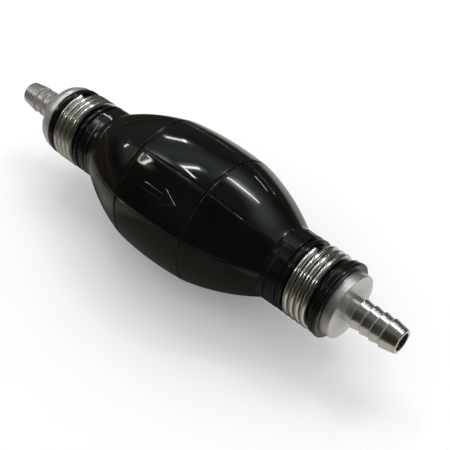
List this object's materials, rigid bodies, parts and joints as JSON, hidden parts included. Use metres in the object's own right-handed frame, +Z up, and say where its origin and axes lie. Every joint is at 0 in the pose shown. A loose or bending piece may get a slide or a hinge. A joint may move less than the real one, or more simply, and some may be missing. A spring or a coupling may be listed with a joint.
{
  "type": "siphon bulb pump",
  "caption": "Hand siphon pump: moulded rubber squeeze bulb with panelled sides between two barbed metal hose fittings, held by wound wire clamps, with a spring-loaded check valve in each end.",
  "frame": {"origin": "centre of the bulb, on the pump's axis, within half a millimetre of the middle between the two nipple tips", "axes": "+X along the pump's axis, the way the liquid flows, from the inlet tip to the outlet tip; +Z up, square to one of the bulb's eight panels"},
  "size_m": [0.1788, 0.0502, 0.05],
  "materials": {
    "bulb_rubber": "glossy moulded black nitrile rubber",
    "turned_aluminium": "bright turned aluminium with fine tool marks",
    "plated_wire": "bright nickel-plated steel wire",
    "seal_rubber": "matt black nitrile rubber",
    "acetal": "natural white acetal",
    "spring_steel": "plain spring steel",
    "brass": "stamped brass"
  },
  "bodies": {
    "fittings": {"inlet_fitting": "turned_aluminium", "outlet_fitting": "turned_aluminium", "inlet_clamp": "plated_wire", "outlet_clamp": "plated_wire", "inlet_seal": "seal_rubber", "inlet_spring": "spring_steel", "inlet_guide_plate": "brass", "inlet_retaining_ring": "spring_steel", "outlet_seal": "seal_rubber", "outlet_spring": "spring_steel", "outlet_guide_plate": "brass", "outlet_seat_ring": "turned_aluminium", "outlet_retaining_ring": "spring_steel"},
    "bulb": {"bulb": "bulb_rubber"},
    "inlet_valve": {"inlet_valve": "acetal"},
    "outlet_valve": {"outlet_valve": "acetal"}
  },
  "joints": [
    {"name": "bulb_squeeze", "type": "slide", "parent": "fittings", "child": "bulb", "axis": [0, 0, -1], "range_m": [0, 0.006], "stiffness_N_per_m": 2500, "deforming": ["bulb"]},
    {"name": "inlet_valve_lift", "type": "slide", "parent": "fittings", "child": "inlet_valve", "axis": [1, 0, 0], "range_m": [0, 0.003], "stiffness_N_per_m": 60, "springref_m": -0.004, "deforming": ["inlet_spring"]},
    {"name": "outlet_valve_lift", "type": "slide", "parent": "fittings", "child": "outlet_valve", "axis": [1, 0, 0], "range_m": [0, 0.003], "stiffness_N_per_m": 60, "springref_m": -0.004, "deforming": ["outlet_spring"]}
  ]
}
